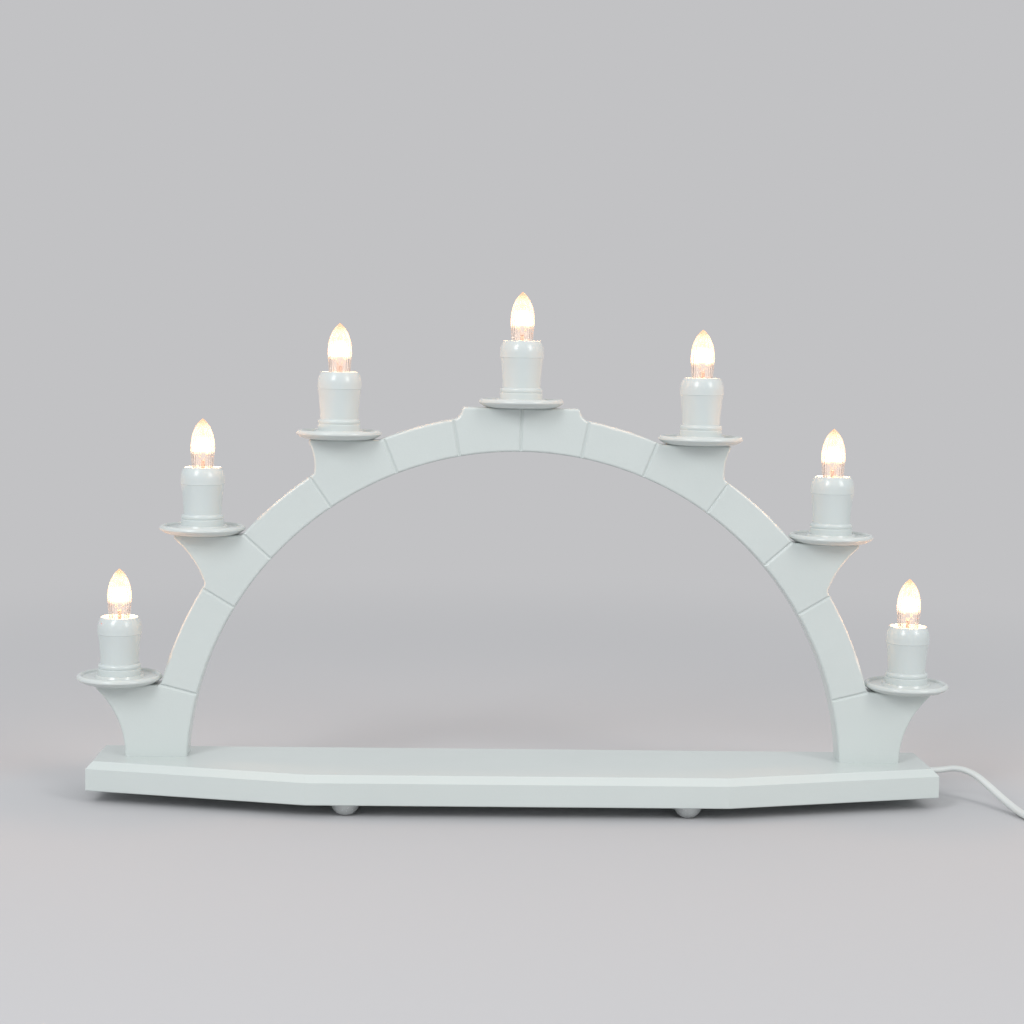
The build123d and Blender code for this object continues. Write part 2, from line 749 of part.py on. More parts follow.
def cord_clamp():
    """Saddle that holds the lead against the roof of the pocket."""
    roof = pocket_roof_z
    half, width = clamp_length / 2, clamp_half_width
    low = (clamp_centre - half, lead_y - width, roof - clamp_height)
    saddle = block(low, (clamp_centre + half, lead_y + width, roof))
    channel = tube_radius + bore_clearance
    bore = Cylinder(channel, clamp_length + overrun)
    saddle -= Pos(clamp_centre, lead_y, board_middle_z) * Rot(0, 90, 0) * bore
    low = (clamp_centre - half - overrun, lead_y - channel, board_middle_z)
    high = (clamp_centre + half + overrun, lead_y + channel, roof + overrun)
    saddle -= block(low, high)
    hole, hole_low = clamp_screw_diameter + bore_clearance, roof - clamp_height - overrun / 2
    for x, y in clamp_screw_places():
        saddle -= upright(hole, clamp_height + overrun, x, y, hole_low)
    return saddle


def clamp_screw():
    head, shank = clamp_screw_head_diameter / 2, clamp_screw_diameter / 2
    length = clamp_height + clamp_screw_grip
    outline = Polyline(
        (0, -clamp_screw_head_height), (head, -clamp_screw_head_height), (head, 0), (shank, 0),
        (shank, length - shank), (0, length), close=True,
    )
    screw = turned(outline)
    slot = Box(clamp_screw_head_diameter + overrun, screw_recess_width / 2, clamp_screw_head_height)
    return screw - Pos(0, 0, -clamp_screw_head_height) * slot


# The lead's free stretch: out of the board's end, over a low hump,
# down to the table towards the front, and round to the coil.
lead_steps = (
    (0.0, 0.0, board_middle_z),
    (9.5, 0.0, board_middle_z),
    (19.0, -2.7, 18.6),
    (28.0, -10.4, 16.9),
    (35.0, -20.6, 11.0),
    (40.0, -32.0, 6.2),
    (43.7, -44.0, 3.3),
    (47.0, -56.5, floor_z),
    (51.5, -70.5, floor_z),
    (60.0, -85.1, floor_z),
    (74.2, -96.7, lower_layer_z),
)
lead_route = [(board_end + x, lead_y + y, z) for x, y, z in lead_steps]


def coil_point(turn):
    """Middle of the coiled lead after so many turns, from the lead's end."""
    half_turns = coil_turns / 2
    angle = radians(360 * turn - 90)
    radius = coil_outer_radius - coil_pitch * min(turn, coil_turns - turn)
    climb = min(max((turn - half_turns) / coil_climb_turns + 1 / 2, 0), 1)
    z = lower_layer_z + (upper_layer_z - lower_layer_z) * (3 * climb**2 - 2 * climb**3)
    return Vector(coil_centre[0] + radius * cos(angle), coil_centre[1] + radius * sin(angle), z)


def coil_direction(turn):
    step = 0.01
    return (coil_point(turn + step) - coil_point(turn - step)).normalized()


def biarc(start, start_way, end, end_way):
    """Two arcs that meet smoothly between two points with given directions."""
    span = end - start
    ways = start_way + end_way
    spread = 2 * (1 - start_way.dot(end_way))
    along = span.dot(ways)
    reach = (sqrt(along**2 + spread * span.dot(span)) - along) / spread
    first, last = start + start_way * reach, end - end_way * reach
    middle = (first + last) * 0.5
    return [
        Edge.make_tangent_arc(start, start_way, middle),
        Edge.make_tangent_arc(middle, (last - first).normalized(), end),
    ]


def coil_path():
    steps = round(coil_turns * 4)
    turns = [coil_turns * step / steps for step in range(steps + 1)]
    points = [coil_point(turn) for turn in turns]
    ways = [coil_direction(turn) for turn in turns[:-1]] + [Vector(0, 1, 0)]
    edges = [Edge.make_line(points[0] - ways[0] * lead_tube_diameter, points[0])]
    for index in range(steps):
        edges += biarc(points[index], ways[index], points[index + 1], ways[index + 1])
    edges.append(Edge.make_line(points[-1], points[-1] + ways[-1] * coil_tail))
    return Wire(edges)


def coil_gap():
    """Least gap between the coil's turns, measured on points."""
    per_turn = 72
    count = round(coil_turns * per_turn)
    points = [coil_point(coil_turns * step / count) for step in range(count + 1)]
    near = per_turn // 2
    least = min(
        (points[a] - points[b]).length for a in range(count + 1) for b in range(a + near, count + 1)
    )
    return least - lead_tube_diameter


def swept_length(tube):
    """Length of the lead that a tube holds, from its volume."""
    return round(tube.volume / (pi * tube_radius**2), 1)


def cord_inner():
    """Straight end of the lead in the board, from the clamp to the board's end."""
    length = board_end - lead_inner_end
    middle = (lead_inner_end + length / 2, lead_y, board_middle_z)
    return Pos(*middle) * Rot(0, 90, 0) * Cylinder(tube_radius, length)


def cord_lead():
    coil = coil_path()
    start, way = coil @ 0, coil % 0
    before = start - way * lead_end_run
    route = lead_route + [(before.X, before.Y, before.Z), (start.X, start.Y, start.Z)]
    radii = route_radii(route)
    print("lead corner radii:", [round(r, 1) for r in radii])
    path = FilletPolyline(*route, radius=radii)
    tube = tube_along(path, lead_tube_diameter)
    print("lead length:", round(path.length, 1), "volume over section:", swept_length(tube))
    return tube


def cord_coil():
    path = coil_path()
    tube = tube_along(path, lead_tube_diameter)
    print("coil length:", round(path.length, 1), "volume over section:", swept_length(tube))
    print("least gap between turns:", round(coil_gap(), 2))
    return tube


def cord_tie():
    """Flat tie round the bundle at the back of the coil."""
    low_radius = coil_outer_radius - coil_layer_width - tube_radius - tie_side_gap
    high_radius = coil_outer_radius + tube_radius + tie_side_gap
    x, y = coil_centre
    top = upper_layer_z + tube_radius + tie_gap
    inside = block((x - tie_width, y + low_radius, tie_thickness), (x + tie_width, y + high_radius, top))
    low = (x - tie_width / 2, y + low_radius - tie_thickness, 0)
    high = (x + tie_width / 2, y + high_radius + tie_thickness, top + tie_thickness)
    return block(low, high) - inside


def plug_section(width, thickness, y):
    """Flat oval section of the plug, square to its length."""
    x = (coil_path() @ 1).X
    place = Plane((x, y, plug_thickness / 2), x_dir=(1, 0, 0), z_dir=(0, 1, 0))
    return place * RectangleRounded(width, thickness, min(plug_edge_round, thickness / 2 - seat_gap))


def plug_body():
    end = coil_path() @ 1
    y = end.Y
    rear, front = y + relief_length, y + relief_length + plug_length
    shoulder_width, shoulder = plug_width * plug_shoulder_share, front - plug_front_length
    body = loft([
        plug_section(plug_rear_width, plug_rear_thickness, rear),
        plug_section(shoulder_width, plug_thickness, shoulder),
    ], ruled=True)
    body += loft([
        plug_section(shoulder_width, plug_thickness, shoulder),
        plug_section(plug_width, plug_thickness, front),
    ], ruled=True)
    for side in (-1, 1):
        body -= pin_place(side) * Cylinder(pin_diameter / 2, 2 * pin_depth_in_body)
    relief = Cone(relief_end_diameter / 2, relief_diameter / 2, relief_length + overrun)
    place = Location((end.X, y + (relief_length + overrun) / 2, end.Z), (-90, 0, 0))
    body += place * relief
    for rib in range(relief_ribs):
        share = (rib + relief_first_share) / (relief_ribs + relief_first_share)
        gap_y = y + relief_length * share
        outer, width = relief_diameter / 2 + overrun, relief_length / (relief_ribs * 3)
        radius = (relief_end_diameter + (relief_diameter - relief_end_diameter) * share) / 2
        ring = Cylinder(outer, width) - Cylinder(radius - relief_rib_depth, width + overrun)
        body -= Location((end.X, gap_y, end.Z), (-90, 0, 0)) * ring
    return body


def pin_place(side):
    end = coil_path() @ 1
    front = end.Y + relief_length + plug_length
    return Location((end.X + side * pin_spacing / 2, front, plug_thickness / 2), (-90, 0, 0))


def plug_pins():
    """Two round pins with a slimmer sleeved part next to the plug's face."""
    radius, sleeve = pin_diameter / 2, pin_diameter / 2 - pin_collar_depth
    tip_start = pin_length - radius
    tip_middle = (radius * sin(radians(45)), tip_start + radius * cos(radians(45)))
    outline = [
        Line((0, -pin_depth_in_body), (radius, -pin_depth_in_body)),
        Line((radius, -pin_depth_in_body), (radius, 0)),
        Line((radius, 0), (sleeve, 0)),
        Line((sleeve, 0), (sleeve, pin_collar_length)),
        Line((sleeve, pin_collar_length), (radius, pin_collar_length)),
        Line((radius, pin_collar_length), (radius, tip_start)),
        ThreePointArc((radius, tip_start), tip_middle, (0, pin_length)),
        Line((0, pin_length), (0, -pin_depth_in_body)),
    ]
    pin = turned(outline)
    return group(pin_place(side) * pin for side in (-1, 1))


def main():
    os.makedirs("parts", exist_ok=True)
    save(base_board(), "base_board")
    save(group(Pos(x, y, 0) * foot() for x, y in foot_places()), "feet")
    save(arch(), "arch")
    save(group(Pos(x, y, foot_height) * arch_screw() for x, y in arch_screw_places()), "arch_screws")
    save(wire_staples(), "wire_staples")
    save(link_wires(), "link_wires")
    save(return_wire(), "return_wire")
    places = lampholder_places()
    save(group(Pos(x, arch_y, z) * screw_shell() for _, x, z in places), "screw_shells")
    save(group(Pos(x, arch_y, z) * centre_contact() for _, x, z in places), "centre_contacts")
    pieces = {
        "drip_dish": drip_dish(), "lampholder": lampholder(), "lamp_glass": lamp_glass(),
        "lamp_filament": lamp_filament(), "lamp_cap": lamp_cap(), "lamp_contact": lamp_contact(),
    }
    for number, x, z in places:
        for name, piece in pieces.items():
            save(Pos(x, arch_y, z) * piece, f"{name}_{number}")
    save(cord_clamp(), "cord_clamp")
    clamp_low = pocket_roof_z - clamp_height
    save(group(Pos(x, y, clamp_low) * clamp_screw() for x, y in clamp_screw_places()), "clamp_screws")
    save(cord_inner(), "cord_inner")
    save(cord_lead(), "cord_lead")
    save(cord_coil(), "cord_coil")
    save(cord_tie(), "cord_tie")
    save(plug_body(), "plug_body")
    save(plug_pins(), "plug_pins")


main()
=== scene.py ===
from math import cos, pi, radians, sin

import bmesh
import bpy
from mathutils import Matrix, Vector


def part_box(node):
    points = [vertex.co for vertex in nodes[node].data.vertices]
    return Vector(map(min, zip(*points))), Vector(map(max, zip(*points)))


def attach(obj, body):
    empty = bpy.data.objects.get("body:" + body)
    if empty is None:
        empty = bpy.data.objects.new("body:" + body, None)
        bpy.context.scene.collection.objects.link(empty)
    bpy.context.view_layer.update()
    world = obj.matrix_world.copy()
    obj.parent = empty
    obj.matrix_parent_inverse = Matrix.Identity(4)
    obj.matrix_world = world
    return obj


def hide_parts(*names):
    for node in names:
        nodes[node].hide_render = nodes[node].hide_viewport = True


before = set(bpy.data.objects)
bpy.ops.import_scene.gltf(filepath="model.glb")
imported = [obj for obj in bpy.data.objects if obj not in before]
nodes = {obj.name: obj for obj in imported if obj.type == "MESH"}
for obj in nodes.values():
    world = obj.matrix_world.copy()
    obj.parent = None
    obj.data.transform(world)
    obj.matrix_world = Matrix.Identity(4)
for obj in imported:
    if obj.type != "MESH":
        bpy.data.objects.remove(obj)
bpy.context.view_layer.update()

# Electric candle arch in white lacquered wood, with seven lit lamps, on a pale studio floor.
# Lengths in the dictionaries are millimetres; mm turns them into Blender's metres.
mm = 0.001
bpy.ops.object.select_all(action="DESELECT")
print("frame loaded:", len(nodes), "CAD nodes")


# Camera, at the photograph's place
cameraView = {
    "place": (-46.4, -1069.0, 268.4),
    "turn": 2.23,       # degrees to the right of straight ahead
    "down": 5.11,
    "roll": 1.03,
    "lens": 64.8, "sensor": 36,
}


def addCamera(v):
    data = bpy.data.cameras.new("camera")
    data.lens = v["lens"]
    data.sensor_width = v["sensor"]
    data.sensor_fit = "HORIZONTAL"
    data.clip_start = 0.01
    camera = bpy.data.objects.new("camera", data)
    bpy.context.scene.collection.objects.link(camera)
    turned = Matrix.Rotation(radians(-v["turn"]), 4, "Z") @ Matrix.Rotation(radians(90 - v["down"]), 4, "X")
    rolled = Matrix.Rotation(radians(v["roll"]), 4, "Z")
    camera.matrix_world = Matrix.Translation(Vector(v["place"]) * mm) @ turned @ rolled
    bpy.context.scene.camera = camera


addCamera(cameraView)
print("camera placed")


# The mains lead: flat, white, out of the board's right end and down to a tied coil
lead = {
    "width": 5.2,
    "thickness": 3.2,
    "length": 1419.0,
    "floor": 1.7,         # middle of the lead where it lies flat on the table
    "lowLayer": 2.25,
    "highLayer": 6.1,
    "coilCentre": (355.0, -37.0),
    "coilRadius": 40.106,
    "pitch": 5.7,
    "turns": 6.25,
    "climbTurns": 0.5,    # the middle half turn climbs from the low to the high layer
    "pointsPerTurn": 16,
    "tail": 26.0,         # straight end from the coil to the plug
    "tailRise": 0.4,
    "intoPlug": 2.0,
    "sides": 20,
}
leadRoute = [
    (250.0, 26.0, 16.0),
    (259.5, 26.0, 16.0),
    (269.0, 23.3, 18.6),
    (278.0, 15.6, 16.9),
    (285.0, 5.4, 11.0),
    (290.0, -6.0, 6.2),
    (293.7, -18.0, 3.3),
    (297.0, -30.5, lead["floor"]),
    (301.5, -44.5, lead["floor"]),
    (310.0, -59.1, lead["floor"]),
    (324.2, -70.7, lead["floor"] + 0.3),
    (341.0, -77.1, lead["lowLayer"]),
]


def coilRoute(v):
    # control points a little outside the turns, so that the smooth curve lies on them
    points = []
    count = round(v["turns"] * v["pointsPerTurn"])
    outside = 1 / (0.75 + 0.25 * cos(2 * pi / v["pointsPerTurn"]))
    for step in range(count + 1):
        turn = v["turns"] * step / count
        angle = radians(360 * turn - 90)
        radius = (v["coilRadius"] - v["pitch"] * min(turn, v["turns"] - turn)) * outside
        climb = min(max((turn - v["turns"] / 2 + v["climbTurns"] / 2) / v["climbTurns"], 0), 1)
        z = v["lowLayer"] + (v["highLayer"] - v["lowLayer"]) * (3 * climb ** 2 - 2 * climb ** 3)
        points.append((v["coilCentre"][0] + radius * cos(angle), v["coilCentre"][1] + radius * sin(angle), z))
    endX = v["coilCentre"][0] + v["coilRadius"]
    points[-1] = (endX, v["coilCentre"][1], v["highLayer"])
    points.append((endX, v["coilCentre"][1] + v["tail"] / 2, v["highLayer"] + v["tailRise"] / 2))
    points.append((endX, v["coilCentre"][1] + v["tail"] + v["intoPlug"], v["highLayer"] + v["tailRise"]))
    return points


def smoothLine(points):
    # one open NURBS spline, read back as a fine line of points
    data = bpy.data.curves.new("leadLine", "CURVE")
    data.dimensions = "3D"
    spline = data.splines.new("NURBS")
    spline.points.add(len(points) - 1)
    for slot, point in zip(spline.points, points):
        slot.co = (point[0] * mm, point[1] * mm, point[2] * mm, 1)
    spline.order_u = 3
    spline.use_endpoint_u = True
    spline.resolution_u = 8
    holder = bpy.data.objects.new("leadLine", data)
    bpy.context.scene.collection.objects.link(holder)
    bpy.context.view_layer.update()
    mesh = bpy.data.meshes.new_from_object(holder)
    line = [vertex.co.copy() for vertex in mesh.vertices]
    bpy.data.objects.remove(holder)
    bpy.data.curves.remove(data)
    bpy.data.meshes.remove(mesh)
    return [line[0]] + [b for a, b in zip(line, line[1:]) if (b - a).length > 1e-6]


def flatTube(name, line, v):
    # flat oval section that keeps its wide side level along the line
    halfFlat = (v["width"] - v["thickness"]) / 2 * mm
    edgeRadius = v["thickness"] / 2 * mm
    mesh = bpy.data.meshes.new(name)
    grid = bmesh.new()
    along = grid.loops.layers.uv.new("alongLead")
    rings, reach = [], []
    travelled = 0.0
    for index, point in enumerate(line):
        before, after = line[max(index - 1, 0)], line[min(index + 1, len(line) - 1)]
        way = (after - before).normalized()
        side = way.cross(Vector((0, 0, 1))).normalized()
        top = side.cross(way)
        ring = []
        for corner in range(v["sides"]):
            angle = 2 * pi * (corner + 0.5) / v["sides"]
            sideways = edgeRadius * cos(angle) + (halfFlat if cos(angle) > 0 else -halfFlat)
            ring.append(grid.verts.new(point + (side * sideways + top * edgeRadius * sin(angle))))
        travelled += (point - before).length
        rings.append(ring)
        reach.append(travelled)
    for index in range(len(rings) - 1):
        for corner in range(v["sides"]):
            following = (corner + 1) % v["sides"]
            face = grid.faces.new((
                rings[index][corner], rings[index + 1][corner],
                rings[index + 1][following], rings[index][following],
            ))
            face.smooth = True
            shares = ((corner, index), (corner, index + 1), (corner + 1, index + 1), (corner + 1, index))
            for loop, (around, place) in zip(face.loops, shares):
                loop[along].uv = (around / v["sides"], reach[place])
    grid.faces.new(rings[0])
    grid.faces.new(list(reversed(rings[-1])))
    bmesh.ops.recalc_face_normals(grid, faces=grid.faces)
    grid.to_mesh(mesh)
    grid.free()
    tube = bpy.data.objects.new(name, mesh)
    bpy.context.scene.collection.objects.link(tube)
    return tube


leadLine = smoothLine(leadRoute + coilRoute(lead))
leadPiece = flatTube("mains_lead", leadLine, lead)
leadSum = sum((b - a).length for a, b in zip(leadLine, leadLine[1:]))
print("lead modelled, length", round(leadSum / mm, 1), "mm")


# Materials. Each one starts from the real finish that it is named for.
def colour(code, alpha=1.0):
    # sRGB hex to the linear values that the shaders take
    parts = [int(code[i:i + 2], 16) / 255 for i in (1, 3, 5)]
    return tuple(c / 12.92 if c <= 0.04045 else ((c + 0.055) / 1.055) ** 2.4 for c in parts) + (alpha,)


def addNode(material, kind, place, settings=None, values=None, links=None):
    node = material.node_tree.nodes.new(kind)
    node.location = place
    for name, value in (settings or {}).items():
        setattr(node, name, value)
    for name, value in (values or {}).items():
        node.inputs[name].default_value = value
    for name, source in (links or {}).items():
        material.node_tree.links.new(source, node.inputs[name])
    return node


def newMaterial(name):
    material = bpy.data.materials.new(name)
    material.use_nodes = True
    material.node_tree.nodes.clear()
    return material


def finishSurface(material, shader):
    addNode(material, "ShaderNodeOutputMaterial", (700, 0), links={"Surface": shader.outputs[0]})
    return material


lacquer = {
    "light": "#ccd3d1", "dark": "#c6cdcb",
    "cloud": 60.0,        # patches of slightly thicker spray
    "peel": 1.6, "peelStrength": 0.16,        # orange peel left by the spray gun
    "grain": 0.9, "grainStrength": 0.10,      # raised grain that telegraphs through the paint
    "depth": 0.2,
    "alongBoard": (0.06, 1, 1), "alongArch": (0.25, 1, 0.12),     # how the grain is drawn out
    "roughness": (0.17, 0.27),
    "IOR": 1.47,
    "coat": 0.15, "coatRoughness": 0.12,
}


def sprayedLacquerOnWood(name, v, grainAlong):
    # nitro lacquer sprayed on sanded beech or MDF: soft gloss, faint orange peel, a hint of grain
    m = newMaterial(name)
    where = addNode(m, "ShaderNodeTexCoord", (-1300, 0))
    cloud = addNode(m, "ShaderNodeTexNoise", (-900, 300),
                    values={"Scale": 1 / (v["cloud"] * mm), "Detail": 2.0},
                    links={"Vector": where.outputs["Object"]})
    tint = addNode(m, "ShaderNodeMixRGB", (-500, 300),
                   values={"Color1": colour(v["dark"]), "Color2": colour(v["light"])},
                   links={"Fac": cloud.outputs["Fac"]})
    peel = addNode(m, "ShaderNodeTexNoise", (-900, 0),
                   values={"Scale": 1 / (v["peel"] * mm), "Detail": 1.0},
                   links={"Vector": where.outputs["Object"]})
    stretch = addNode(m, "ShaderNodeMapping", (-1100, -300), values={"Scale": grainAlong},
                      links={"Vector": where.outputs["Object"]})
    grain = addNode(m, "ShaderNodeTexNoise", (-900, -300),
                    values={"Scale": 1 / (v["grain"] * mm), "Detail": 3.0},
                    links={"Vector": stretch.outputs[0]})
    gloss = addNode(m, "ShaderNodeMapRange", (-500, 0),
                    values={"To Min": v["roughness"][0], "To Max": v["roughness"][1]},
                    links={"Value": cloud.outputs["Fac"]})
    lifted = addNode(m, "ShaderNodeBump", (-300, -300),
                     values={"Strength": v["grainStrength"], "Distance": v["depth"] * mm},
                     links={"Height": grain.outputs["Fac"]})
    skin = addNode(m, "ShaderNodeBump", (-100, -200),
                   values={"Strength": v["peelStrength"], "Distance": v["depth"] * mm},
                   links={"Height": peel.outputs["Fac"], "Normal": lifted.outputs[0]})
    paint = addNode(m, "ShaderNodeBsdfPrincipled", (300, 0),
                    values={"IOR": v["IOR"], "Coat Weight": v["coat"], "Coat Roughness": v["coatRoughness"]},
                    links={"Base Color": tint.outputs[0], "Roughness": gloss.outputs[0],
                           "Normal": skin.outputs[0]})
    return finishSurface(m, paint)


plastics = {
    # base, darker patch, roughness, wave of the mould in mm, bump
    "holder": ("#ced5d4", "#c8cfce", 0.21, 9.0, 0.05),
    "dish": ("#ced3d1", "#c8cdcb", 0.18, 12.0, 0.05),
    "sheath": ("#d6d9d7", "#cdd0ce", 0.42, 0.8, 0.25),
    "wire": ("#e4e4df", "#dadad4", 0.4, 0.6, 0.2),
    "clamp": ("#dfdfd9", "#d5d5cf", 0.5, 0.7, 0.3),
    "tie": ("#d6d9d8", "#c9cdcc", 0.45, 0.5, 0.3),
    "plug": ("#d3d6d4", "#cacecc", 0.34, 0.6, 0.3),
}
plasticBody = {
    "flow": 22.0,         # patches where the plastic flowed into the mould
    "skinDepth": 0.2,
    "leastRough": 0.85, "mostRough": 1.15,       # shares of the roughness above
    "IOR": 1.5,
    "soft": 0.05, "softScale": 0.4, "softReach": (4.0, 3.0, 2.0),     # light that seeps in under the skin
}


def mouldedPlastic(name, values, v):
    # injection moulded or extruded plastic: even colour with faint flow patches and the mould's skin
    base, patch, roughness, wave, bump = values
    m = newMaterial(name)
    where = addNode(m, "ShaderNodeTexCoord", (-1100, 0))
    flow = addNode(m, "ShaderNodeTexNoise", (-800, 200),
                   values={"Scale": 1 / (v["flow"] * mm), "Detail": 2.0},
                   links={"Vector": where.outputs["Object"]})
    tint = addNode(m, "ShaderNodeMixRGB", (-400, 200),
                   values={"Color1": colour(patch), "Color2": colour(base)},
                   links={"Fac": flow.outputs["Fac"]})
    skin = addNode(m, "ShaderNodeTexNoise", (-800, -200), values={"Scale": 1 / (wave * mm), "Detail": 2.0},
                   links={"Vector": where.outputs["Object"]})
    gloss = addNode(m, "ShaderNodeMapRange", (-400, 0),
                    values={"To Min": roughness * v["leastRough"], "To Max": roughness * v["mostRough"]},
                    links={"Value": flow.outputs["Fac"]})
    relief = addNode(m, "ShaderNodeBump", (-200, -200),
                     values={"Strength": bump, "Distance": v["skinDepth"] * mm},
                     links={"Height": skin.outputs["Fac"]})
    body = addNode(m, "ShaderNodeBsdfPrincipled", (300, 0),
                   values={"IOR": v["IOR"], "Subsurface Weight": v["soft"],
                           "Subsurface Radius": tuple(reach * mm for reach in v["softReach"]),
                           "Subsurface Scale": v["softScale"]},
                   links={"Base Color": tint.outputs[0], "Roughness": gloss.outputs[0],
                          "Normal": relief.outputs[0]})
    return finishSurface(m, body)


metals = {
    # base, tarnish, roughness
    "zinc": ("#b9bcc0", "#9a9da2", 0.38),
    "brass": ("#cfa65a", "#a8803f", 0.3),
    "cap": ("#cfc3a0", "#a8956a", 0.26),
    "nickel": ("#cfcac0", "#b4aea2", 0.2),
    "solder": ("#a9abad", "#85878a", 0.45),
}
metalSkin = {
    "stain": 5.0,         # patches of tarnish
    "mark": 0.9, "markStretch": (1, 1, 9), "markStrength": 0.2, "markDepth": 0.1,     # rolling marks
    "leastRough": 0.7, "mostRough": 1.4,
}


def platedMetal(name, values, v):
    # drawn, pressed or plated small metal parts: fine rolling marks and a little tarnish
    base, dull, roughness = values
    m = newMaterial(name)
    where = addNode(m, "ShaderNodeTexCoord", (-1100, 0))
    stain = addNode(m, "ShaderNodeTexNoise", (-800, 200),
                    values={"Scale": 1 / (v["stain"] * mm), "Detail": 4.0},
                    links={"Vector": where.outputs["Object"]})
    tint = addNode(m, "ShaderNodeMixRGB", (-400, 200),
                   values={"Color1": colour(dull), "Color2": colour(base)},
                   links={"Fac": stain.outputs["Fac"]})
    stretch = addNode(m, "ShaderNodeMapping", (-950, -200), values={"Scale": v["markStretch"]},
                      links={"Vector": where.outputs["Object"]})
    marks = addNode(m, "ShaderNodeTexNoise", (-750, -200),
                    values={"Scale": 1 / (v["mark"] * mm), "Detail": 2.0},
                    links={"Vector": stretch.outputs[0]})
    gloss = addNode(m, "ShaderNodeMapRange", (-400, 0),
                    values={"To Min": roughness * v["leastRough"], "To Max": roughness * v["mostRough"]},
                    links={"Value": stain.outputs["Fac"]})
    relief = addNode(m, "ShaderNodeBump", (-200, -200),
                     values={"Strength": v["markStrength"], "Distance": v["markDepth"] * mm},
                     links={"Height": marks.outputs["Fac"]})
    body = addNode(m, "ShaderNodeBsdfPrincipled", (300, 0), values={"Metallic": 1.0},
                   links={"Base Color": tint.outputs[0], "Roughness": gloss.outputs[0],
                          "Normal": relief.outputs[0]})
    return finishSurface(m, body)


foot = {
    "colour": "#eef2f2",
    "roughness": 0.22, "leastRough": 0.8, "mostRough": 1.3,
    "clear": 0.55, "IOR": 1.49,
    "bubble": 1.4, "bubbleStrength": 0.1, "bubbleDepth": 0.2,
}


def castPolyurethane(name, v):
    # clear self-adhesive bumper cast in polyurethane: milky, soft gloss, tiny bubbles
    m = newMaterial(name)
    where = addNode(m, "ShaderNodeTexCoord", (-900, 0))
    bubbles = addNode(m, "ShaderNodeTexVoronoi", (-650, -100), values={"Scale": 1 / (v["bubble"] * mm)},
                      links={"Vector": where.outputs["Object"]})
    haze = addNode(m, "ShaderNodeMapRange", (-400, 0),
                   values={"To Min": v["roughness"] * v["mostRough"],
                           "To Max": v["roughness"] * v["leastRough"]},
                   links={"Value": bubbles.outputs["Distance"]})
    relief = addNode(m, "ShaderNodeBump", (-200, -200),
                     values={"Strength": v["bubbleStrength"], "Distance": v["bubbleDepth"] * mm},
                     links={"Height": bubbles.outputs["Distance"]})
    body = addNode(m, "ShaderNodeBsdfPrincipled", (200, 0),
                   values={"Base Color": colour(v["colour"]), "Transmission Weight": v["clear"],
                           "IOR": v["IOR"]},
                   links={"Roughness": haze.outputs[0], "Normal": relief.outputs[0]})
    return finishSurface(m, body)


# Lamps. Heights are millimetres above the lampholder's seat on the dish.
lamp = {
    "count": 7,
    "ribs": 26, "ribStrength": 0.55, "ribDepth": 0.5,
    "glassColour": "#fffaf4", "glassTip": 67.0, "IOR": 1.47, "roughness": 0.05,
    "hazeColour": "#ffb486", "haze": 0.34,        # scattered light in the wall of the glass
    "hazeFrom": 47.0, "hazeFull": 49.5, "hazeTo": 60.0,
    "tipHaze": 0.25,                              # share of it that is left at the tip
    "footColour": "#ffe6da", "footHaze": 0.09,    # scattered light in the ribbed foot of the glass
    "glowColour": "#ffcf9e", "glow": 6.0, "leastGlow": 0.9,
    "glowFoot": 47.4, "glowBottom": 48.9, "glowFade": 53.0, "glowTop": 62.4,
    "glowFall": 2.6,                              # how fast the glow weakens towards the tip
    "streak": 1.1, "streakStretch": (1, 1, 0.12), "streakGain": 1.1, "streakBase": 0.45,     # upright streaks
    "wireColour": "#ffc070", "wire": 12.0, "wireFoot": 46.5, "wireTop": 48.5,
    # stem: faint painted glow on the glass stem, standing for the wire's light that falls on it
    "stemColour": "#b99a8c", "stem": 0.05, "stemRoughness": 0.3,
    "lightColour": "#ffb57c", "lightWatts": 0.09, "lightSize": 3.0, "lightHeight": 53.0,
}


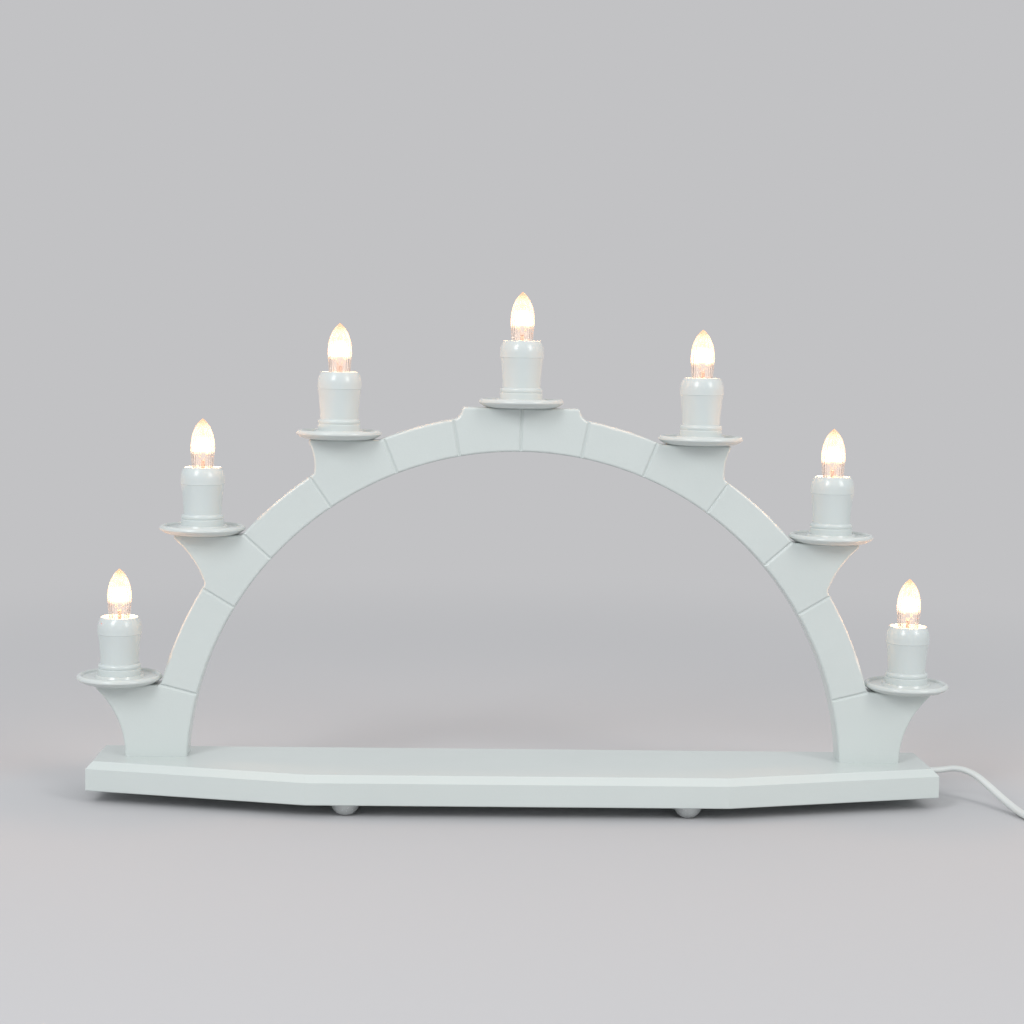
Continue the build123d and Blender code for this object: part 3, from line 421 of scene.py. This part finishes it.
def ribbedLampGlass(name, v, centre):
    # blown candle-shaped glass with fine moulded ribs, which carry the light up and down the wall
    m = newMaterial(name)
    where = addNode(m, "ShaderNodeTexCoord", (-1700, 0))
    moved = addNode(m, "ShaderNodeMapping", (-1500, 0), values={"Location": tuple(-c for c in centre)},
                    links={"Vector": where.outputs["Object"]})
    turnRound = addNode(m, "ShaderNodeTexGradient", (-1250, -200), {"gradient_type": "RADIAL"},
                        links={"Vector": moved.outputs[0]})
    ribs = addNode(m, "ShaderNodeMath", (-1000, -200), {"operation": "MULTIPLY"}, {1: 2 * pi * v["ribs"]},
                   {0: turnRound.outputs["Fac"]})
    wave = addNode(m, "ShaderNodeMath", (-800, -200), {"operation": "SINE"}, links={0: ribs.outputs[0]})
    relief = addNode(m, "ShaderNodeBump", (-400, -200),
                     values={"Strength": v["ribStrength"], "Distance": v["ribDepth"] * mm},
                     links={"Height": wave.outputs[0]})
    height = addNode(m, "ShaderNodeSeparateXYZ", (-1250, 200), links={0: moved.outputs[0]})
    rise = addNode(m, "ShaderNodeMapRange", (-1000, 300), {"interpolation_type": "SMOOTHSTEP"},
                   {"From Min": v["hazeFrom"] * mm, "From Max": v["hazeFull"] * mm},
                   {"Value": height.outputs["Z"]})
    fall = addNode(m, "ShaderNodeMapRange", (-1000, 50), {"interpolation_type": "SMOOTHSTEP"},
                   {"From Min": v["hazeTo"] * mm, "From Max": v["glassTip"] * mm,
                    "To Min": 1.0, "To Max": v["tipHaze"]},
                   {"Value": height.outputs["Z"]})
    band = addNode(m, "ShaderNodeMath", (-700, 200), {"operation": "MULTIPLY"},
                   links={0: rise.outputs[0], 1: fall.outputs[0]})
    strength = addNode(m, "ShaderNodeMath", (-450, 200), {"operation": "MULTIPLY_ADD"},
                       {1: v["haze"], 2: v["footHaze"]}, {0: band.outputs[0]})
    tone = addNode(m, "ShaderNodeMixRGB", (-450, 450),
                   values={"Color1": colour(v["footColour"]), "Color2": colour(v["hazeColour"])},
                   links={"Fac": rise.outputs[0]})
    glass = addNode(m, "ShaderNodeBsdfPrincipled", (200, 0),
                    values={"Base Color": colour(v["glassColour"]), "Transmission Weight": 1.0,
                            "IOR": v["IOR"], "Roughness": v["roughness"]},
                    links={"Normal": relief.outputs[0], "Emission Color": tone.outputs[0],
                           "Emission Strength": strength.outputs[0]})
    return finishSurface(m, glass)


def lampGlow(name, v, centre):
    # light that the filament spreads inside the ribbed glass: white in the middle, amber where it thins
    m = newMaterial(name)
    where = addNode(m, "ShaderNodeTexCoord", (-1500, 0))
    moved = addNode(m, "ShaderNodeMapping", (-1300, 0), values={"Location": tuple(-c for c in centre)},
                    links={"Vector": where.outputs["Object"]})
    height = addNode(m, "ShaderNodeSeparateXYZ", (-1100, 100), links={0: moved.outputs[0]})
    streaks = addNode(m, "ShaderNodeMapping", (-1100, -250), values={"Scale": v["streakStretch"]},
                      links={"Vector": moved.outputs[0]})
    flicker = addNode(m, "ShaderNodeTexNoise", (-900, -250),
                      values={"Scale": 1 / (v["streak"] * mm), "Detail": 2.0},
                      links={"Vector": streaks.outputs[0]})
    up = addNode(m, "ShaderNodeMapRange", (-800, 250), {"interpolation_type": "SMOOTHSTEP"},
                 {"From Min": v["glowFoot"] * mm, "From Max": v["glowBottom"] * mm},
                 {"Value": height.outputs["Z"]})
    down = addNode(m, "ShaderNodeMapRange", (-800, 0), {"interpolation_type": "SMOOTHSTEP"},
                   {"From Min": v["glowFade"] * mm, "From Max": v["glowTop"] * mm,
                    "To Min": 1.0, "To Max": 0.0},
                   {"Value": height.outputs["Z"]})
    body = addNode(m, "ShaderNodeMath", (-550, 150), {"operation": "MULTIPLY"},
                   links={0: up.outputs[0], 1: down.outputs[0]})
    ragged = addNode(m, "ShaderNodeMath", (-550, -150), {"operation": "MULTIPLY_ADD"},
                     {1: v["streakGain"], 2: v["streakBase"]}, {0: flicker.outputs["Fac"]})
    share = addNode(m, "ShaderNodeMath", (-350, 0), {"operation": "MULTIPLY", "use_clamp": True},
                    links={0: body.outputs[0], 1: ragged.outputs[0]})
    fading = addNode(m, "ShaderNodeMath", (-350, 250), {"operation": "POWER"}, {1: v["glowFall"]},
                     {0: body.outputs[0]})
    strength = addNode(m, "ShaderNodeMath", (-150, 200), {"operation": "MULTIPLY_ADD"},
                       {1: v["glow"], 2: v["leastGlow"]}, {0: fading.outputs[0]})
    light = addNode(m, "ShaderNodeEmission", (50, 150), values={"Color": colour(v["glowColour"])},
                    links={"Strength": strength.outputs[0]})
    clear = addNode(m, "ShaderNodeBsdfTransparent", (50, -50))
    mixed = addNode(m, "ShaderNodeMixShader", (300, 0),
                    links={"Fac": share.outputs[0], 1: clear.outputs[0], 2: light.outputs[0]})
    return finishSurface(m, mixed)


def glowingWire(name, v, seatTop):
    # tungsten wire on a glass stem: the wire glows, and the stem below it gets a faint painted glow in the
    # wire's colour for the light it catches
    m = newMaterial(name)
    where = addNode(m, "ShaderNodeTexCoord", (-900, 0))
    height = addNode(m, "ShaderNodeSeparateXYZ", (-700, 0), links={0: where.outputs["Object"]})
    # emission ramps from the stem's painted glow up to the glowing wire
    hot = addNode(m, "ShaderNodeMapRange", (-500, 0),
                  values={"From Min": seatTop + v["wireFoot"] * mm, "From Max": seatTop + v["wireTop"] * mm,
                          "To Min": v["stem"], "To Max": v["wire"]},
                  links={"Value": height.outputs["Z"]})
    body = addNode(m, "ShaderNodeBsdfPrincipled", (0, 0),
                   values={"Base Color": colour(v["stemColour"]), "Roughness": v["stemRoughness"],
                           "Emission Color": colour(v["wireColour"])},
                   links={"Emission Strength": hot.outputs[0]})
    return finishSurface(m, body)


def dress(nodeName, material):
    slots = nodes[nodeName].data.materials
    slots.clear()
    slots.append(material)


boardPaint = sprayedLacquerOnWood("lacqueredBoardAlongX", lacquer, lacquer["alongBoard"])
archPaint = sprayedLacquerOnWood("lacqueredArch", lacquer, lacquer["alongArch"])
plain = {key: mouldedPlastic("plastic_" + key, value, plasticBody) for key, value in plastics.items()}
metal = {key: platedMetal("metal_" + key, value, metalSkin) for key, value in metals.items()}
footRubber = castPolyurethane("castPolyurethane", foot)

dress("base_board", boardPaint)
dress("arch", archPaint)
dress("feet", footRubber)
for name in ("arch_screws", "clamp_screws", "wire_staples"):
    dress(name, metal["zinc"])
for name in ("link_wires", "return_wire"):
    dress(name, plain["wire"])
dress("cord_clamp", plain["clamp"])
dress("cord_inner", plain["sheath"])
dress("cord_tie", plain["tie"])
dress("plug_body", plain["plug"])
dress("plug_pins", metal["nickel"])
dress("screw_shells", metal["brass"])
dress("centre_contacts", metal["brass"])
leadPiece.data.materials.append(plain["sheath"])
for name in nodes:
    if name.startswith("drip_dish"):
        dress(name, plain["dish"])
    elif name.startswith("lampholder"):
        dress(name, plain["holder"])
    elif name.startswith("lamp_cap"):
        dress(name, metal["cap"])
    elif name.startswith("lamp_contact"):
        dress(name, metal["solder"])
print("materials made")


# The light inside each lamp's glass, modelled once and copied to the seven lamps
glowShape = {
    # radius and height above the seat, a little inside the glass
    "profile": ((3.5, 47.5), (4.3, 49.2), (4.4, 52.0), (4.0, 54.8), (3.1, 57.6), (2.0, 60.0), (1.0, 61.8)),
    "tip": 62.6,
    "sides": 24,
    "smoothUnder": 50,      # degrees
}


def modelGlow(v):
    radius, height = v["profile"][0]
    bpy.ops.mesh.primitive_circle_add(
        vertices=v["sides"], radius=radius * mm, fill_type="NGON", location=(0, 0, height * mm))
    piece = bpy.context.object
    bpy.ops.object.transform_apply(location=True)
    bpy.ops.object.mode_set(mode="EDIT")
    for (r1, z1), (r2, z2) in zip(v["profile"], v["profile"][1:]):
        bpy.ops.mesh.extrude_region_move(TRANSFORM_OT_translate={"value": (0, 0, (z2 - z1) * mm)})
        bpy.ops.transform.resize(value=(r2 / r1, r2 / r1, 1), center_override=(0, 0, z2 * mm))
    lastStep = v["tip"] - v["profile"][-1][1]
    bpy.ops.mesh.extrude_region_move(TRANSFORM_OT_translate={"value": (0, 0, lastStep * mm)})
    bpy.ops.mesh.merge(type="CENTER")
    bpy.ops.mesh.select_all(action="SELECT")
    bpy.ops.mesh.normals_make_consistent(inside=False)
    bpy.ops.object.mode_set(mode="OBJECT")
    bpy.ops.object.shade_smooth_by_angle(angle=radians(v["smoothUnder"]))
    piece.select_set(False)
    return piece


def addLampLight(name, place, v):
    # small warm light that the glass, the wire and the glow let through
    light = bpy.data.objects.new(name, bpy.data.lights.new(name, "POINT"))
    light.data.energy = v["lightWatts"]
    light.data.color = colour(v["lightColour"])[:3]
    light.data.shadow_soft_size = v["lightSize"] * mm
    light.location = place
    light.visible_camera = light.visible_transmission = light.visible_glossy = False
    bpy.context.scene.collection.objects.link(light)


firstGlow = modelGlow(glowShape)
for number in range(1, lamp["count"] + 1):
    dishLow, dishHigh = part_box(f"drip_dish_{number}")
    centre = Vector(((dishLow.x + dishHigh.x) / 2, (dishLow.y + dishHigh.y) / 2, dishLow.z))
    dress(f"lamp_glass_{number}", ribbedLampGlass(f"ribbedLampGlass_{number}", lamp, centre))
    dress(f"lamp_filament_{number}", glowingWire(f"glowingWire_{number}", lamp, centre.z))
    glow = firstGlow
    if number < lamp["count"]:
        glow = bpy.data.objects.new("glow", firstGlow.data.copy())
        bpy.context.scene.collection.objects.link(glow)
    glow.name = f"lamp_glow_{number}"
    glow.data.transform(Matrix.Translation(centre))
    glow.data.materials.append(lampGlow(f"lampGlow_{number}", lamp, centre))
    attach(glow, f"lamp_{number}")
    addLampLight(f"lamp_light_{number}", centre + Vector((0, 0, lamp["lightHeight"] * mm)), lamp)
    for inTheWay in (nodes[f"lamp_glass_{number}"], nodes[f"lamp_filament_{number}"], glow):
        inTheWay.visible_shadow = False
print("lamps lit")


# Floor, backdrop and lights
studio = {
    "floor": "#bcbcbe", "floorRoughness": 0.75, "floorSpecular": 0.3,
    "fibre": 3.0, "fibreStrength": 0.05, "fibreDepth": 0.3,
    "wall": "#c2c2c4",
    "floorRadius": 4.0, "floorSides": 96,
    "blendFrom": 0.42, "blendTo": 1.1,      # metres from the object where the floor turns into the backdrop
    "sky": "#f7f9fb", "world": 0.83,
}


def studioFloor(v):
    bpy.ops.mesh.primitive_circle_add(
        vertices=v["floorSides"], radius=v["floorRadius"], fill_type="NGON", location=(0, 0, 0))
    floor = bpy.context.object
    floor.name = "studio_floor"
    floor.select_set(False)
    m = newMaterial("paperFloor")
    where = addNode(m, "ShaderNodeTexCoord", (-1100, 0))
    distance = addNode(m, "ShaderNodeVectorMath", (-900, 0), {"operation": "LENGTH"},
                       links={0: where.outputs["Object"]})
    away = addNode(m, "ShaderNodeMapRange", (-700, 0), {"interpolation_type": "SMOOTHSTEP"},
                   {"From Min": v["blendFrom"], "From Max": v["blendTo"]},
                   {"Value": distance.outputs["Value"]})
    path = addNode(m, "ShaderNodeLightPath", (-700, 350))
    seen = addNode(m, "ShaderNodeMath", (-450, 300), {"operation": "MAXIMUM"},
                   links={0: path.outputs["Is Camera Ray"], 1: path.outputs["Is Glossy Ray"]})
    seenToo = addNode(m, "ShaderNodeMath", (-300, 300), {"operation": "MAXIMUM"},
                      links={0: seen.outputs[0], 1: path.outputs["Is Transmission Ray"]})
    share = addNode(m, "ShaderNodeMath", (-150, 150), {"operation": "MULTIPLY"},
                    links={0: seenToo.outputs[0], 1: away.outputs[0]})
    fibre = addNode(m, "ShaderNodeTexNoise", (-700, -300),
                    values={"Scale": 1 / (v["fibre"] * mm), "Detail": 3.0},
                    links={"Vector": where.outputs["Object"]})
    relief = addNode(m, "ShaderNodeBump", (-400, -300),
                     values={"Strength": v["fibreStrength"], "Distance": v["fibreDepth"] * mm},
                     links={"Height": fibre.outputs["Fac"]})
    paper = addNode(m, "ShaderNodeBsdfPrincipled", (0, -100),
                    values={"Base Color": colour(v["floor"]), "Roughness": v["floorRoughness"],
                            "Specular IOR Level": v["floorSpecular"]},
                    links={"Normal": relief.outputs[0]})
    backdrop = addNode(m, "ShaderNodeEmission", (0, 150),
                       values={"Color": colour(v["wall"]), "Strength": 1.0})
    mixed = addNode(m, "ShaderNodeMixShader", (350, 0),
                    links={"Fac": share.outputs[0], 1: paper.outputs[0], 2: backdrop.outputs[0]})
    floor.data.materials.append(finishSurface(m, mixed))


def studioWorld(v):
    world = bpy.data.worlds.new("studio")
    world.use_nodes = True
    world.node_tree.nodes.clear()
    path = addNode(world, "ShaderNodeLightPath", (-700, 200))
    seen = addNode(world, "ShaderNodeMath", (-500, 200), {"operation": "MAXIMUM"},
                   links={0: path.outputs["Is Camera Ray"], 1: path.outputs["Is Glossy Ray"]})
    seenToo = addNode(world, "ShaderNodeMath", (-350, 200), {"operation": "MAXIMUM"},
                      links={0: seen.outputs[0], 1: path.outputs["Is Transmission Ray"]})
    around = addNode(world, "ShaderNodeBackground", (-200, 100),
                     values={"Color": colour(v["sky"]), "Strength": v["world"]})
    backdrop = addNode(world, "ShaderNodeBackground", (-200, -50),
                       values={"Color": colour(v["wall"]), "Strength": 1.0})
    mixed = addNode(world, "ShaderNodeMixShader", (100, 0),
                    links={"Fac": seenToo.outputs[0], 1: around.outputs[0], 2: backdrop.outputs[0]})
    addNode(world, "ShaderNodeOutputWorld", (350, 0), links={"Surface": mixed.outputs[0]})
    bpy.context.scene.world = world


aim = (0, 0, 0.13)        # metres, the middle of the arch
softboxes = {
    # place in metres, width, height, watts, colour
    "key_left": ((-0.95, -1.3, 1.2), 0.55, 0.8, 13.4, "#fbfdff"),
    "fill_right": ((1.25, -1.2, 1.1), 0.55, 0.8, 9.6, "#fffdfa"),
    "top": ((0.0, -0.1, 1.9), 1.4, 0.9, 1.0, "#ffffff"),
}


def addSoftbox(name, place, width, height, watts, tone):
    data = bpy.data.lights.new(name, "AREA")
    data.shape = "RECTANGLE"
    data.size, data.size_y = width, height
    data.energy = watts
    data.color = colour(tone)[:3]
    light = bpy.data.objects.new(name, data)
    bpy.context.scene.collection.objects.link(light)
    light.location = place
    light.rotation_euler = (Vector(aim) - Vector(place)).to_track_quat("-Z", "Y").to_euler()


studioFloor(studio)
studioWorld(studio)
for name, values in softboxes.items():
    addSoftbox(name, *values)
bpy.context.scene.view_settings.view_transform = "Standard"
print("studio lit")


# The lead stands for its two CAD tubes, and ends in the plug
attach(leadPiece, "stand")
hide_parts("cord_lead", "cord_coil")
